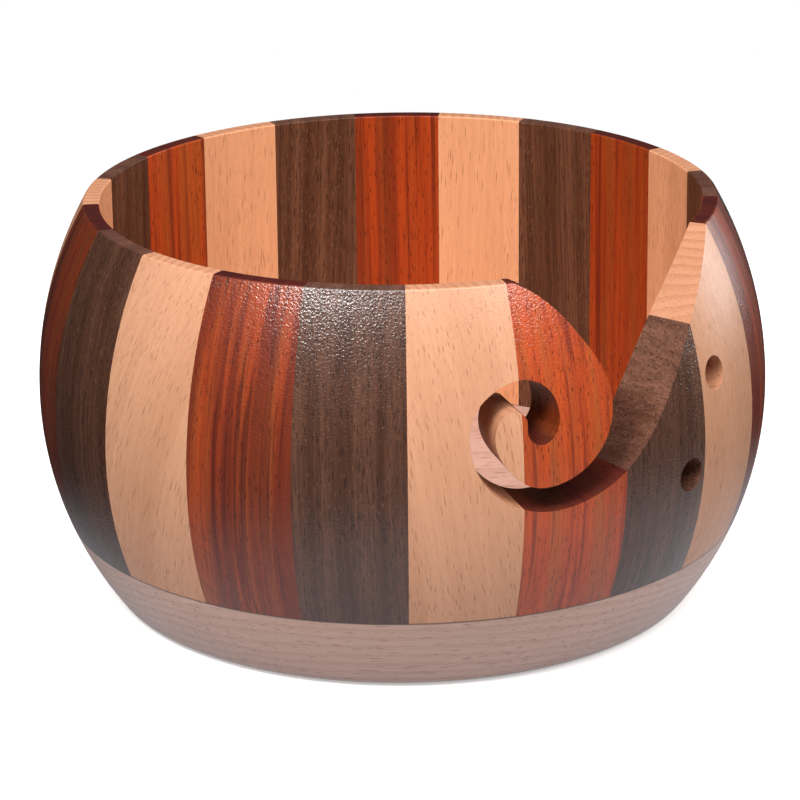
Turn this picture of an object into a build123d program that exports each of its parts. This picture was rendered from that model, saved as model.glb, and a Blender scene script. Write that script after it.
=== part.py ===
from build123d import *
import math
import os

# Yarn bowl, turned from a ring of glued wooden staves standing on a solid base disc.
# A slot is cut radially through the wall: it starts as a wide mouth in the rim, narrows beside
# a rounded tongue and curls around the tongue's tip, so that yarn drops in and stays in.
# Millimetres, +Z up, origin in the middle of the underside. The slot's side is the front, -Y.
# Angles go anticlockwise seen from above, in degrees from the front.

# ---- driving dimensions ----
HEIGHT = 83.0
BELLY_RADIUS = 75.0          # widest outside radius
BELLY_HEIGHT = 43.5          # height of the widest circle
UPPER_ARC = 80.0             # radius of the outside curve above the belly
LOWER_ARC = 70.0             # radius of the outside curve below the belly
FOOT_ROUND = 4.4             # rounding between the side and the flat underside
INNER_RADIUS = 61.3          # the inside is a plain cylinder
BASE_THICKNESS = 17.2        # the staves stand on the base disc at this height
RIM_ROUND_OUT = 0.7
RIM_ROUND_IN = 0.4

STAVE_COUNT = 21
WOODS = ("red", "dark", "light")      # the order of the staves, repeated around the ring
FIRST_JOINT = 18.3           # angle of the joint at the left corner of the slot's mouth

NEEDLE_HOLE = 6.8            # diameter of the two holes that needles rest in
NEEDLE_HOLES = {             # stave number: (angle from the first joint, height)
    2: (30.9, 39.6),
    3: (38.2, 57.8),
}

# The slot's outline as seen unrolled: (degrees from the first joint, height). It runs from the
# left corner of the mouth around the tongue to its tip, then through the end of the curl
# and back outside it, along the lower edge and up to the right corner of the mouth.
TONGUE_EDGE = [
    (-0.9, 83.6), (6.5, 79.0), (11.9, 71.0), (14.8, 63.8), (14.9, 56.5), (11.8, 49.6),
    (6.6, 45.6), (1.4, 45.4), (-2.2, 49.0), (-4.2, 54.8), (-3.2, 59.0), (-1.0, 60.3),
    (0.7, 58.8), (0.9, 55.4), (2.7, 53.5),
]
OUTSIDE_EDGE = [
    (5.3, 55.3), (6.0, 59.2), (4.6, 63.7), (1.3, 65.9), (-3.8, 64.4), (-7.2, 60.3),
    (-8.0, 54.6), (-6.2, 47.4), (-1.6, 42.0), (3.9, 40.0), (9.6, 40.8), (17.3, 45.3),
    (25.2, 55.6), (34.4, 68.9), (40.0, 74.6), (46.0, 79.4), (53.0, 83.6),
]
SLOTTED = (1, 2, 3, STAVE_COUNT)
CUT_OFF = {1: "_head", STAVE_COUNT: "_tongue_tip"}    # the smaller piece of a stave cut in two
CUT_TOP = 95.0               # the cutter reaches this high above the rim
CUT_FROM = 50.0              # radii between which the cutter works
CUT_TO = 98.0

STEP = 360.0 / STAVE_COUNT


def at(x, z):
    """A point of the bowl's half section."""
    return (x, 0.0, z)


def outside_radius(z):
    """Radius of the outside at a height above the foot's rounding."""
    arc = UPPER_ARC if z > BELLY_HEIGHT else LOWER_ARC
    return BELLY_RADIUS - arc + math.sqrt(arc**2 - (z - BELLY_HEIGHT) ** 2)


def side_curve(z0, z1):
    """The outside's edge between two heights that lie on one of its two arcs."""
    middle = (z0 + z1) / 2
    return ThreePointArc(
        at(outside_radius(z0), z0), at(outside_radius(middle), middle), at(outside_radius(z1), z1)
    )


def section_face(edges):
    return Face(Wire(edges))


def stave_section():
    """Half section of the wall, with the rim's two rounded edges."""
    rim_radius = outside_radius(HEIGHT)
    face = section_face([
        Line(at(INNER_RADIUS, BASE_THICKNESS), at(outside_radius(BASE_THICKNESS), BASE_THICKNESS)),
        side_curve(BASE_THICKNESS, BELLY_HEIGHT),
        side_curve(BELLY_HEIGHT, HEIGHT),
        Line(at(rim_radius, HEIGHT), at(INNER_RADIUS, HEIGHT)),
        Line(at(INNER_RADIUS, HEIGHT), at(INNER_RADIUS, BASE_THICKNESS)),
    ])
    top = face.vertices().group_by(Axis.Z)[-1].sort_by(Axis.X)
    face = face.fillet_2d(RIM_ROUND_OUT, [top[-1]])
    top = face.vertices().sort_by(Axis.Z).group_by(Axis.X)[0]
    return face.fillet_2d(RIM_ROUND_IN, [top.sort_by(Axis.Z)[-1]])


def base_disc():
    """Solid disc that closes the bottom; its side carries on the wall's curve to the foot."""
    arc_centre = BELLY_RADIUS - LOWER_ARC
    reach = LOWER_ARC - FOOT_ROUND
    foot_centre = arc_centre + math.sqrt(reach**2 - (BELLY_HEIGHT - FOOT_ROUND) ** 2)
    lean = math.atan2(BELLY_HEIGHT - FOOT_ROUND, foot_centre - arc_centre)
    touch = (
        foot_centre + FOOT_ROUND * math.cos(lean),
        FOOT_ROUND - FOOT_ROUND * math.sin(lean),
    )
    half = (math.pi / 2 + lean) / 2
    middle = (
        foot_centre + FOOT_ROUND * math.cos(half),
        FOOT_ROUND - FOOT_ROUND * math.sin(half),
    )
    edge_radius = outside_radius(BASE_THICKNESS)
    face = section_face([
        Line(at(0, 0), at(foot_centre, 0)),
        ThreePointArc(at(foot_centre, 0), at(*middle), at(*touch)),
        side_curve(touch[1], BASE_THICKNESS),
        Line(at(edge_radius, BASE_THICKNESS), at(0, BASE_THICKNESS)),
        Line(at(0, BASE_THICKNESS), at(0, 0)),
    ])
    return revolve(face, Axis.Z)


def turned(angle):
    """Rotation that takes the half section to an angle from the front."""
    return Rot(0, 0, angle - 90)


def around(angle, z, radius):
    """A point at an angle from the first joint."""
    turn = math.radians(FIRST_JOINT + angle)
    return Vector(radius * math.sin(turn), -radius * math.cos(turn), z)


def slot_loop(radius):
    """The slot's closed outline at a radius, as edges: curve, right side, top and left side."""
    outline = TONGUE_EDGE + OUTSIDE_EDGE
    points = [around(angle, z, BELLY_RADIUS) for angle, z in outline]
    lengths = [(b - a).length for a, b in zip(points, points[1:])]
    parameters = [sum(lengths[:i]) / sum(lengths) for i in range(len(points))]
    curve = Edge.make_spline(
        [around(angle, z, radius) for angle, z in outline], parameters=parameters
    )
    left = outline[0][0]
    right = outline[-1][0]
    return [
        curve,
        Edge.make_line(curve @ 1, around(right, CUT_TOP, radius)),
        Edge.make_three_point_arc(
            around(right, CUT_TOP, radius),
            around((left + right) / 2, CUT_TOP, radius),
            around(left, CUT_TOP, radius),
        ),
        Edge.make_line(around(left, CUT_TOP, radius), curve @ 0),
    ]


def slot_cutter():
    """The slot as a body whose walls all run along the radius."""
    inner = slot_loop(CUT_FROM)
    outer = slot_loop(CUT_TO)
    walls = [Face.make_surface_from_curves(a, b) for a, b in zip(inner, outer)]
    caps = [Face.make_surface(Wire(inner)), Face.make_surface(Wire(outer))]
    return Solid(Shell(walls + caps))


def needle_hole(angle, height):
    """Radial drill at an angle from the first joint."""
    drill = Plane(origin=at(CUT_FROM, height), z_dir=(1, 0, 0)) * Cylinder(
        NEEDLE_HOLE / 2, CUT_TO - CUT_FROM, align=(Align.CENTER, Align.CENTER, Align.MIN)
    )
    return turned(FIRST_JOINT + angle) * drill


def stave_name(number):
    return f"stave_{number:02d}_{WOODS[(number - 1) % len(WOODS)]}"


def pieces():
    """Every piece as name: solid. Two staves come out of the cut as two pieces each."""
    blank = revolve(stave_section(), Axis.Z, STEP)
    cutter = slot_cutter()
    made = {"base_disc": base_disc()}
    for number in range(1, STAVE_COUNT + 1):
        stave = turned(FIRST_JOINT + (number - 1) * STEP) * blank
        if number in NEEDLE_HOLES:
            stave = stave - needle_hole(*NEEDLE_HOLES[number])
        if number in SLOTTED:
            stave = stave - cutter
        solids = stave.solids().sort_by(SortBy.VOLUME, reverse=True)
        for solid, ending in zip(solids, ("", CUT_OFF.get(number)), strict=False):
            made[stave_name(number) + ending] = solid
    return made


os.makedirs("parts", exist_ok=True)
for name, solid in pieces().items():
    export_step(solid, f"parts/{name}.step")
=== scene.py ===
import math

import bpy
from mathutils import Matrix, Vector


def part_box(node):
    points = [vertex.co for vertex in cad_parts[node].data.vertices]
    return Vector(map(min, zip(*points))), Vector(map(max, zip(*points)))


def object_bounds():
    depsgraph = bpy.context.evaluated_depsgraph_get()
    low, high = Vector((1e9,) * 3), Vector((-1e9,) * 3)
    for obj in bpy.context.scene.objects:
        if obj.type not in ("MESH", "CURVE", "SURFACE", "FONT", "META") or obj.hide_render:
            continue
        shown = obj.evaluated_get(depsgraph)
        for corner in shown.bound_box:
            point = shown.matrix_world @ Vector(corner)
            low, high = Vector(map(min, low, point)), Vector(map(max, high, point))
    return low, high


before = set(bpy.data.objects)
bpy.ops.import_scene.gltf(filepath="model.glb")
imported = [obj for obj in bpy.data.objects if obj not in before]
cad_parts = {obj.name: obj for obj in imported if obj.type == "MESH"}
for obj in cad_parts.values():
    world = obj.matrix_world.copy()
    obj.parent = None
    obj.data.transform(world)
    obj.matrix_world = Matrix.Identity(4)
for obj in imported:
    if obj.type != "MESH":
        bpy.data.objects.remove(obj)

CAD_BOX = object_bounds()

# Yarn bowl: staves of three woods around a pale base disc. The CAD pieces are shown as they are,
# and this script gives each its own piece of wood, the light, the floor and the camera.
# Metres in the CAD frame, +Z up, the curled slot towards -Y. Angles are degrees from -Y towards +X.

MM = 0.001
STAVES = 21
STEP = 360 / STAVES
FIRST_JOINT = 18.3
BOWL_HEIGHT = CAD_BOX[1][2]
SEAM_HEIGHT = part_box("base_disc")[1][2]


def rgb(r, g, b):
    return (r, g, b, 1.0)


# Colours of the woods. Painted light and shade on the cut faces multiplies the colour where the slot and
# the holes are cut: painted shade on beech and padauk, painted light on walnut.
BEECH = {
    "light": rgb(0.66, 0.328, 0.187),
    "deep": rgb(0.59, 0.282, 0.154),
    "line": rgb(0.42, 0.18, 0.090),
    "fleck": rgb(0.27, 0.105, 0.048),
    "speck": rgb(0.33, 0.13, 0.06),
    # painted shade: the beech is darkened where it is cut
    "cut_painted_light_shade": rgb(0.86, 0.82, 0.82),
}
BASE_BEECH = BEECH | {
    "light": rgb(0.70, 0.450, 0.360),
    "deep": rgb(0.62, 0.385, 0.300),
    "line": rgb(0.45, 0.260, 0.190),
}
WALNUT = {
    "dark": rgb(0.078, 0.027, 0.013),
    "light": rgb(0.135, 0.054, 0.029),
    "stripe": rgb(0.038, 0.013, 0.007),
    "fibre": rgb(0.030, 0.010, 0.005),
    "pore": rgb(0.016, 0.006, 0.003),
    # painted highlight: the colour of small glints on the lacquer
    "painted_glint": rgb(0.24, 0.12, 0.075),
    "end": rgb(0.045, 0.020, 0.016),
    # painted light: the walnut is made paler and cooler where it is cut
    "cut_painted_light_shade": rgb(1.5, 1.6, 1.8),
}
PADAUK = {
    "orange": rgb(0.54, 0.078, 0.012),
    "red": rgb(0.36, 0.044, 0.008),
    "brown": rgb(0.400, 0.090, 0.018),
    "streak": rgb(0.150, 0.018, 0.008),
    "line": rgb(0.070, 0.010, 0.006),
    "fibre": rgb(0.12, 0.014, 0.006),
    "pore": rgb(0.035, 0.006, 0.004),
    "end": rgb(0.10, 0.018, 0.014),
    # painted shade: the padauk is darkened and cooled where it is cut
    "cut_painted_light_shade": rgb(0.45, 0.50, 0.70),
}
GLUE = rgb(0.05, 0.022, 0.014)
GLUE_SHOWS = 0.65
INSIDE_PAINTED_LIGHT = rgb(1.28, 1.20, 1.08)      # painted light: multiplies the colour of the hollow's wall to make it lighter and warmer

GLUE_EDGE = (0.10 * MM, 0.30 * MM)       # how far from the joint the glue starts and stops fading
RING_SPACING = 2.0 * MM
RING_WANDER = 2.0        # how many rings a ring strays to the side
DASH_DEPTH = 2.5         # a dash is this much deeper than it is wide
DASH_CORE = 0.45         # share of a dash that is fully dark
DASH_FAINTER = 0.25      # range of draws over which a dash goes from absent to full

# Where the surface faces: limits of the part of its direction that points outwards or upwards
FACES_IN = (-0.9, -0.5)
FACES_SIDEWAYS = (0.2, 0.5)
FACES_OUT = (0.3, 0.6)
FACES_UP = (0.55, 0.9)

# Lacquer
PEBBLE = 1.6             # how much the lacquer's skin stands out beside the grain
PEBBLE_SIZE = 0.45
BARE = 0.25              # share of the lacquer that the cuts and the hollow have
BARE_ROUGHER = 0.25      # what a bare surface adds to the roughness
WOOD_IOR = 1.45
WOOD_SPECULAR = 0.5


# ---- node-tree helpers ----
class Tree:
    """Adds nodes to a material or a world and joins them; a value is a number, a tuple or a socket."""

    def __init__(self, owner):
        owner.use_nodes = True
        self.owner = owner
        self.tree = owner.node_tree
        self.tree.nodes.clear()

    def node(self, kind, inputs=(), **settings):
        made = self.tree.nodes.new(kind)
        for key, value in settings.items():
            setattr(made, key, value)
        for key, value in dict(inputs).items():
            self.put(made.inputs[key], value)
        return made

    def put(self, socket, value):
        if isinstance(value, bpy.types.NodeSocket):
            self.tree.links.new(value, socket)
        else:
            socket.default_value = value

    def math(self, operation, a, b=0.0, c=0.0):
        return self.node("ShaderNodeMath", {0: a, 1: b, 2: c}, operation=operation).outputs[0]

    def vector(self, operation, a, b=(0.0, 0.0, 0.0)):
        return self.node("ShaderNodeVectorMath", {0: a, 1: b}, operation=operation)

    def ramp(self, value, low, high, out_low=0.0, out_high=1.0):
        """Smooth step of a value between two limits."""
        limits = {"From Min": low, "From Max": high, "To Min": out_low, "To Max": out_high}
        made = self.node("ShaderNodeMapRange", {"Value": value} | limits, interpolation_type="SMOOTHSTEP")
        return made.outputs[0]

    def mix(self, factor, a, b, blend="MIX"):
        made = self.node("ShaderNodeMix", data_type="RGBA", blend_type=blend)
        self.put(made.inputs[0], factor)
        self.put(made.inputs[6], a)
        self.put(made.inputs[7], b)
        return made.outputs[2]

    def stain(self, base, mask, colour, strength=1.0):
        """Lays a colour over the base where the mask is 1."""
        return self.mix(self.math("MULTIPLY", mask, strength), base, colour)

    def between(self, factor, a, b):
        """One shader or the other."""
        return self.node("ShaderNodeMixShader", {0: factor, 1: a, 2: b}).outputs[0]

    def place(self):
        return self.node("ShaderNodeTexCoord").outputs["Object"]

    def normal(self):
        return self.node("ShaderNodeTexCoord").outputs["Normal"]

    def stretched(self, vector, across, along, deep=1.0, shift=(0.0, 0.0, 0.0)):
        """Counts cells of across by along millimetres, which are deep times longer radially."""
        size = (across * deep * MM, across * MM, along * MM)
        scale = tuple(1 / side for side in size)
        made = self.node("ShaderNodeMapping", {"Vector": vector, "Scale": scale, "Location": shift})
        return made.outputs[0]

    def noise(self, vector, detail, rough=0.5, scale=1.0):
        inputs = {"Vector": vector, "Scale": scale, "Detail": detail, "Roughness": rough, "Distortion": 0.0}
        return self.node("ShaderNodeTexNoise", inputs).outputs["Fac"]

    def grain(self, space, across, along, deep, detail, rough, shift=(0.0, 0.0, 0.0)):
        """Noise drawn out along the grain; its sizes are millimetres."""
        return self.noise(self.stretched(space, across, along, deep, shift), detail, rough)

    def dashes(self, space, across, along, size, fewer, shift=(0.0, 0.0, 0.0)):
        """Short marks along the grain: 1 on a mark. Each has size as its share of a cell, and a mark
        whose random draw is below fewer is left out."""
        vector = self.stretched(space, across, along, DASH_DEPTH, shift)
        cells = self.node("ShaderNodeTexVoronoi", {"Vector": vector, "Scale": 1.0, "Randomness": 1.0})
        draw = self.node("ShaderNodeSeparateColor", {0: cells.outputs["Color"]}).outputs[0]
        mark = self.ramp(cells.outputs["Distance"], size * DASH_CORE, size, 1.0, 0.0)
        return self.math("MULTIPLY", mark, self.ramp(draw, fewer, fewer + DASH_FAINTER))


# ---- what the surface faces ----
def upwardness(t):
    """1 where the surface faces up or down, as on the rim."""
    z = t.node("ShaderNodeSeparateXYZ", {0: t.normal()}).outputs[2]
    return t.ramp(t.math("ABSOLUTE", z), *FACES_UP)


def outwardness(t):
    """How far the surface faces away from the bowl's axis: 1 outside, 0 on cuts, -1 inside."""
    flat = t.vector("MULTIPLY", t.place(), (1.0, 1.0, 0.0)).outputs[0]
    out = t.vector("NORMALIZE", flat).outputs[0]
    return t.vector("DOT_PRODUCT", out, t.normal()).outputs["Value"]


# ---- coordinates of the boards ----
NEXT_BOARD = (0.031, 0.017, 0.023)       # from one stave's place in the noise to the next one's
BASE_BOARD = (0.52, 0.28, 0.0)


def stave_angle(number):
    """Angle of a stave's middle."""
    return FIRST_JOINT + (number - 0.5) * STEP


def stave_space(t, number, lean):
    """Coordinates of one upright board: x radial, y tangential, z along the grain."""
    turn = math.radians(90 - stave_angle(number))
    turned = t.node("ShaderNodeMapping", {"Vector": t.place(), "Rotation": (0.0, 0.0, turn)}).outputs[0]
    own_place = tuple(number * shift for shift in NEXT_BOARD)
    leaning = {"Vector": turned, "Rotation": (math.radians(lean), 0.0, 0.0), "Location": own_place}
    return t.node("ShaderNodeMapping", leaning).outputs[0]


def base_space(t):
    """Coordinates of the base disc's board, which lies flat: its grain runs along X."""
    x, y, z = t.node("ShaderNodeSeparateXYZ", {0: t.place()}).outputs
    swapped = t.node("ShaderNodeCombineXYZ", {0: y, 1: z, 2: x}).outputs[0]
    return t.node("ShaderNodeMapping", {"Vector": swapped, "Location": BASE_BOARD}).outputs[0]


# ---- woods ----
def rings(t, space, angle):
    """Growth rings: bands that cross the board at an angle and run almost straight along it."""
    wander = t.grain(space, across=14, along=900, deep=1, detail=1.0, rough=0.5)
    parts = t.node("ShaderNodeSeparateXYZ", {0: space})
    s = t.math("MULTIPLY", parts.outputs[0], math.cos(math.radians(angle)))
    s = t.math("MULTIPLY_ADD", parts.outputs[1], math.sin(math.radians(angle)), s)
    s = t.math("MULTIPLY_ADD", wander, RING_WANDER * RING_SPACING, s)
    return t.math("FRACT", t.math("DIVIDE", s, RING_SPACING))


def glue_line(t, colour):
    """The thin dark line where the staves stand on the base disc."""
    z = t.node("ShaderNodeSeparateXYZ", {0: t.place()}).outputs[2]
    off = t.math("ABSOLUTE", t.math("SUBTRACT", z, SEAM_HEIGHT))
    line = t.ramp(off, *GLUE_EDGE, GLUE_SHOWS, 0.0)
    upright = t.math("SUBTRACT", 1.0, upwardness(t))
    return t.stain(colour, line, GLUE, upright)


def lacquered(t, colour, roughness, height, cut_painted_light_shade, bump, reach, coat, coat_rough):
    """Ends a wood: its grain's height and the lacquer's pebbled skin, under a thin clear coat."""
    skin = t.noise(t.stretched(t.place(), PEBBLE_SIZE, PEBBLE_SIZE), detail=1.0)
    height = t.math("MULTIPLY_ADD", skin, PEBBLE, height)
    raised = {"Height": height, "Strength": bump, "Distance": reach * MM}
    bumped = t.node("ShaderNodeBump", raised).outputs[0]

    facing = outwardness(t)
    inside = t.ramp(facing, *FACES_IN, 1.0, 0.0)
    cut = t.ramp(t.math("ABSOLUTE", facing), *FACES_SIDEWAYS, 1.0, 0.0)
    # painted light: the hollow's wall is made lighter and warmer than its wood
    colour = t.mix(inside, colour, INSIDE_PAINTED_LIGHT, "MULTIPLY")
    # painted light and shade on the cut faces: darker beech and padauk, paler walnut
    colour = t.mix(cut, colour, cut_painted_light_shade, "MULTIPLY")
    colour = glue_line(t, colour)
    lacquer = t.ramp(facing, *FACES_OUT, BARE, 1.0)
    roughest = t.math("ADD", roughness, BARE_ROUGHER)

    shader = t.node(
        "ShaderNodeBsdfPrincipled",
        {
            "Base Color": colour,
            "Roughness": t.math("MULTIPLY_ADD", lacquer, -BARE_ROUGHER, roughest),
            "Normal": bumped,
            "IOR": WOOD_IOR,
            "Specular IOR Level": t.math("MULTIPLY", lacquer, WOOD_SPECULAR),
            "Coat Weight": t.math("MULTIPLY", lacquer, coat),
            "Coat Roughness": coat_rough,
            "Coat Normal": bumped,
        },
    )
    t.node("ShaderNodeOutputMaterial", {"Surface": shader.outputs[0]})


def pale_wood(t, space, tones, end, ring_angle, ring_strength):
    """Beech: light tan with thin brown flecks along the grain and fine growth rings."""
    broad = t.grain(space, across=7.0, along=200, deep=3, detail=2.0, rough=0.5)
    fibre = t.grain(space, across=0.35, along=7.0, deep=3, detail=3.0, rough=0.6)
    base = t.mix(t.ramp(broad, 0.3, 0.7), tones["deep"], tones["light"])
    late = t.ramp(rings(t, space, ring_angle), 0.35, 0.95)
    base = t.stain(base, late, tones["line"], t.math("MULTIPLY_ADD", end, 0.50, ring_strength))
    base = t.stain(base, t.ramp(fibre, 0.35, 0.75), tones["line"], 0.28)
    fleck = t.dashes(space, across=0.56, along=7.0, size=0.27, fewer=0.0)
    fleck = t.math("MULTIPLY", fleck, t.math("MULTIPLY_ADD", end, -0.7, 1.0))
    base = t.stain(base, fleck, tones["fleck"], 0.62)
    speck = t.dashes(space, across=0.42, along=2.6, size=0.30, fewer=0.25, shift=(3.1, 5.7, 9.2))
    base = t.stain(base, speck, tones["speck"], 0.35)
    rough = t.ramp(fibre, 0.2, 0.8, 0.38, 0.50)
    lacquered(t, base, rough, 0.0, tones["cut_painted_light_shade"], bump=0.30, reach=0.08, coat=0.45, coat_rough=0.25)


def dark_wood(t, space):
    """Walnut: dark brown pinstripes with fine darker pores, and small lighter flecks that are painted
    glints.
    """
    broad = t.grain(space, across=3.5, along=300, deep=6, detail=2.0, rough=0.5)
    stripe = t.grain(space, across=0.7, along=60, deep=6, detail=2.0, rough=0.6, shift=(5.5, 0.3, 2.2))
    fibre = t.grain(space, across=0.3, along=6, deep=3, detail=3.0, rough=0.65)
    base = t.mix(t.ramp(broad, 0.3, 0.72), WALNUT["dark"], WALNUT["light"])
    base = t.stain(base, t.ramp(stripe, 0.40, 0.62), WALNUT["stripe"], 0.42)
    base = t.stain(base, t.ramp(fibre, 0.42, 0.72), WALNUT["fibre"], 0.50)
    pore = t.dashes(space, across=0.42, along=4.2, size=0.34, fewer=0.0, shift=(1.7, 2.9, 4.1))
    base = t.stain(base, pore, WALNUT["pore"], 0.75)
    # painted highlight: small lighter flecks stand for glints on the lacquer
    painted_glint = t.dashes(space, across=0.45, along=2.0, size=0.26, fewer=0.40, shift=(8.3, 6.1, 2.2))
    base = t.stain(base, painted_glint, WALNUT["painted_glint"], 0.40)
    base = t.stain(base, upwardness(t), WALNUT["end"], 0.35)
    rough = t.ramp(fibre, 0.2, 0.8, 0.34, 0.48)
    height = t.math("MULTIPLY", pore, -0.35)
    lacquered(t, base, rough, height, WALNUT["cut_painted_light_shade"], bump=0.62, reach=0.12, coat=0.9, coat_rough=0.18)


def red_wood(t, space, streaky, bright):
    """Padauk: orange red with long purple-brown bands and lines, and fine dark pores."""
    broad = t.grain(space, across=5.5, along=260, deep=6, detail=2.0, rough=0.55)
    fine = t.grain(space, across=1.3, along=120, deep=6, detail=3.0, rough=0.6, shift=(4.4, 1.2, 0.7))
    fibre = t.grain(space, across=0.28, along=9, deep=3, detail=3.0, rough=0.65)
    warm = t.grain(space, across=3.0, along=90, deep=6, detail=2.0, rough=0.5, shift=(9.1, 3.3, 5.2))
    base = t.mix(t.ramp(fine, 0.30, 0.70), PADAUK["orange"], PADAUK["red"])
    base = t.stain(base, t.ramp(warm, 0.42, 0.66), PADAUK["brown"], 0.75)
    streak = t.ramp(broad, 0.62 - 0.22 * streaky, 0.72 - 0.20 * streaky)
    base = t.stain(base, streak, PADAUK["streak"], 0.42 + 0.30 * streaky)
    base = t.stain(base, t.ramp(fine, 0.54, 0.66), PADAUK["line"], 0.38 + 0.22 * streaky)
    base = t.stain(base, t.ramp(fibre, 0.42, 0.75), PADAUK["fibre"], 0.42)
    base = t.mix(1.0, base, rgb(bright, bright * 0.97, bright * 0.95), "MULTIPLY")
    pore = t.dashes(space, across=0.5, along=3.4, size=0.28, fewer=0.10, shift=(2.7, 7.9, 1.1))
    base = t.stain(base, pore, PADAUK["pore"], 0.7)
    base = t.stain(base, upwardness(t), PADAUK["end"], 0.70)
    rough = t.ramp(fibre, 0.2, 0.8, 0.32, 0.46)
    height = t.math("MULTIPLY", pore, -0.4)
    lacquered(t, base, rough, height, PADAUK["cut_painted_light_shade"], bump=0.55, reach=0.11, coat=0.75, coat_rough=0.17)


# ---- every piece gets wood of its own ----
# By stave number: how streaky and how bright the padauk is, and how far the grain leans in degrees.
STREAKY = {1: 0.25, 4: 0.5, 7: 0.45, 10: 0.55, 13: 0.35, 16: 0.6, 19: 0.85}
BRIGHT = {1: 0.98, 4: 0.75, 7: 0.60, 10: 0.68, 13: 0.85, 16: 0.45, 19: 0.68}
LEAN = {3: -5.0, 15: 8.0, 18: 17.0, 21: -8.0}
DARK_LEANS = 0.4         # walnut and padauk lean this much of what beech would
RED_LEANS = 0.3


def varied(number, step, count):
    """A whole number from 0 to count - 1 that changes from stave to stave."""
    return number * step % count


def stave_wood(t, number, kind):
    """Wood for one stave: beech, walnut or padauk."""
    lean = LEAN.get(number, varied(number, 37, 11) - 5.0)
    if kind == "light":
        space = stave_space(t, number, lean)
        ring_angle = 35 + varied(number, 23, 70)
        pale_wood(t, space, BEECH, end=upwardness(t), ring_angle=ring_angle, ring_strength=0.10)
    elif kind == "dark":
        dark_wood(t, stave_space(t, number, lean * DARK_LEANS))
    else:
        red_wood(t, stave_space(t, number, lean * RED_LEANS), STREAKY[number], BRIGHT[number])


for node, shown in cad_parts.items():
    t = Tree(bpy.data.materials.new("wood_" + node))
    if node == "base_disc":
        pale_wood(t, base_space(t), BASE_BEECH, end=0.0, ring_angle=80, ring_strength=0.32)
    else:
        number, kind = node.split("_")[1:3]
        stave_wood(t, int(number), kind)
    shown.data.materials.clear()
    shown.data.materials.append(t.owner)

# ---- floor ----
FLOOR_HALF = 3.0
WHITE = rgb(1.0, 1.0, 1.0)
LIT_RADII = (0.19, 0.34)                 # paper lit by the lamps near the bowl, plain white beyond
PAPER_GLOW = 0.45
PAPER_DARK = rgb(0.36, 0.36, 0.38)
PAPER_PALE = rgb(0.41, 0.41, 0.43)
PAPER_GRAIN = 300.0
BRIGHT_SIDE = (0.025, -0.060, 0.0)       # the paper mirrored in the lacquer is brightest round here
SHEEN_RADII = (0.060, 0.170)
SHEEN = (0.66, 0.02)
SHEEN_COLOUR = rgb(0.90, 0.93, 1.0)


def floor_paper():
    """White paper: lit near the bowl for the camera, a soft glow for the lacquer's mirror image."""
    t = Tree(bpy.data.materials.new("floor_paper"))
    place = t.place()
    tint = t.mix(t.noise(place, detail=3.0, scale=PAPER_GRAIN), PAPER_DARK, PAPER_PALE)
    paper = t.node("ShaderNodeBsdfDiffuse", {"Color": tint}).outputs[0]

    seen_paper = t.node("ShaderNodeBsdfDiffuse", {"Color": WHITE}).outputs[0]
    glow = t.node("ShaderNodeEmission", {"Color": WHITE, "Strength": PAPER_GLOW}).outputs[0]
    lit = t.node("ShaderNodeAddShader", {0: seen_paper, 1: glow}).outputs[0]
    white = t.node("ShaderNodeEmission", {"Color": WHITE, "Strength": 1.0}).outputs[0]
    near = t.ramp(t.vector("LENGTH", place).outputs["Value"], *LIT_RADII, 1.0, 0.0)
    seen = t.between(near, white, lit)

    off_side = t.vector("DISTANCE", place, BRIGHT_SIDE).outputs["Value"]
    sheen = t.ramp(off_side, *SHEEN_RADII, *SHEEN)
    mirrored = t.node("ShaderNodeEmission", {"Color": SHEEN_COLOUR, "Strength": sheen}).outputs[0]

    ray = t.node("ShaderNodeLightPath").outputs
    unseen = t.between(ray["Is Glossy Ray"], paper, mirrored)
    surface = t.between(ray["Is Camera Ray"], unseen, seen)
    t.node("ShaderNodeOutputMaterial", {"Surface": surface})
    return t.owner


floor_mesh = bpy.data.meshes.new("floor")
corners = [(x * FLOOR_HALF, y * FLOOR_HALF, 0.0) for x, y in ((-1, -1), (1, -1), (1, 1), (-1, 1))]
floor_mesh.from_pydata(corners, [], [(0, 1, 2, 3)])
floor_mesh.materials.append(floor_paper())
floor = bpy.data.objects.new("floor", floor_mesh)
bpy.context.collection.objects.link(floor)

# ---- world ----
SKY = rgb(0.97, 0.98, 1.0)
AMBIENT = 0.18
MIRRORED_SKY = 0.03

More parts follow.
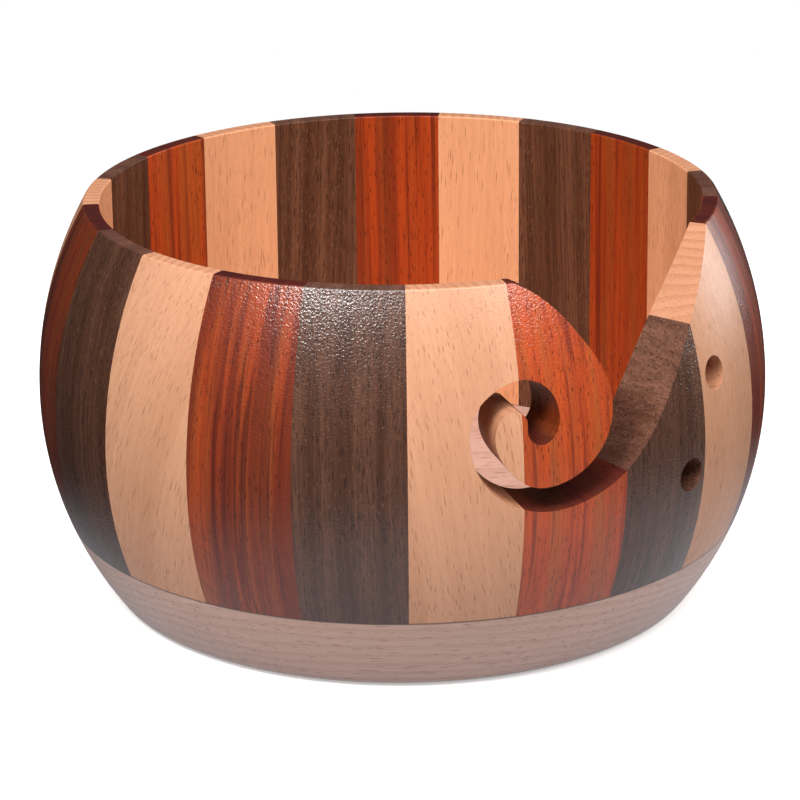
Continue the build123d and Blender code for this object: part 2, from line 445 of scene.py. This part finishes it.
world = bpy.data.worlds.new("studio")
bpy.context.scene.world = world
sky = Tree(world)
ambient = sky.node("ShaderNodeBackground", {"Color": SKY, "Strength": AMBIENT}).outputs[0]
dim = sky.node("ShaderNodeBackground", {"Color": SKY, "Strength": MIRRORED_SKY}).outputs[0]
white = sky.node("ShaderNodeBackground", {"Color": WHITE, "Strength": 1.0}).outputs[0]
ray = sky.node("ShaderNodeLightPath").outputs
unseen = sky.between(ray["Is Glossy Ray"], ambient, dim)
sky.node("ShaderNodeOutputWorld", {"Surface": sky.between(ray["Is Camera Ray"], unseen, white)})


# ---- lights ----
def softbox(name, angle, elevation, distance, width, height, power):
    """A rectangular lamp at an angle round the bowl, facing its middle."""
    a = math.radians(angle)
    e = math.radians(elevation)
    middle = Vector((0.0, 0.0, BOWL_HEIGHT / 2))
    way = Vector((math.sin(a) * math.cos(e), -math.cos(a) * math.cos(e), math.sin(e)))
    lamp = bpy.data.lights.new(name, "AREA")
    lamp.shape = "RECTANGLE"
    lamp.size = width
    lamp.size_y = height
    lamp.energy = power
    placed = bpy.data.objects.new(name, lamp)
    placed.location = middle + way * distance
    placed.rotation_euler = (-way).to_track_quat("-Z", "Y").to_euler()
    bpy.context.collection.objects.link(placed)


softbox("key", angle=16, elevation=62, distance=0.9, width=0.95, height=0.42, power=8.2)
softbox("left_window", angle=-34, elevation=47, distance=1.0, width=0.36, height=0.17, power=6.4)
softbox("right_window", angle=44, elevation=42, distance=1.0, width=0.20, height=0.14, power=1.9)
softbox("right_strip", angle=122, elevation=15, distance=0.8, width=0.30, height=0.5, power=2.0)

# ---- camera ----
CAMERA_AT = Vector((6.6, -722.6, 292.2)) * MM
LOOK_DOWN = math.radians(19.36)
LOOK_LEFT = math.radians(0.534)
ROLL = math.radians(0.42)
SENSOR_WIDTH = 36.0
FOCAL_LENGTH = 165.7
NEAREST = 10 * MM

camera_data = bpy.data.cameras.new("camera")
camera_data.sensor_width = SENSOR_WIDTH
camera_data.lens = FOCAL_LENGTH
camera_data.clip_start = NEAREST
camera = bpy.data.objects.new("camera", camera_data)
tilt = Matrix.Rotation(math.pi / 2 - LOOK_DOWN, 4, "X")
turn = Matrix.Rotation(-ROLL, 4, "Z") @ Matrix.Rotation(LOOK_LEFT, 4, "Y")
camera.matrix_world = Matrix.Translation(CAMERA_AT) @ tilt @ turn
bpy.context.collection.objects.link(camera)
bpy.context.scene.camera = camera

bpy.context.scene.view_settings.view_transform = "Standard"
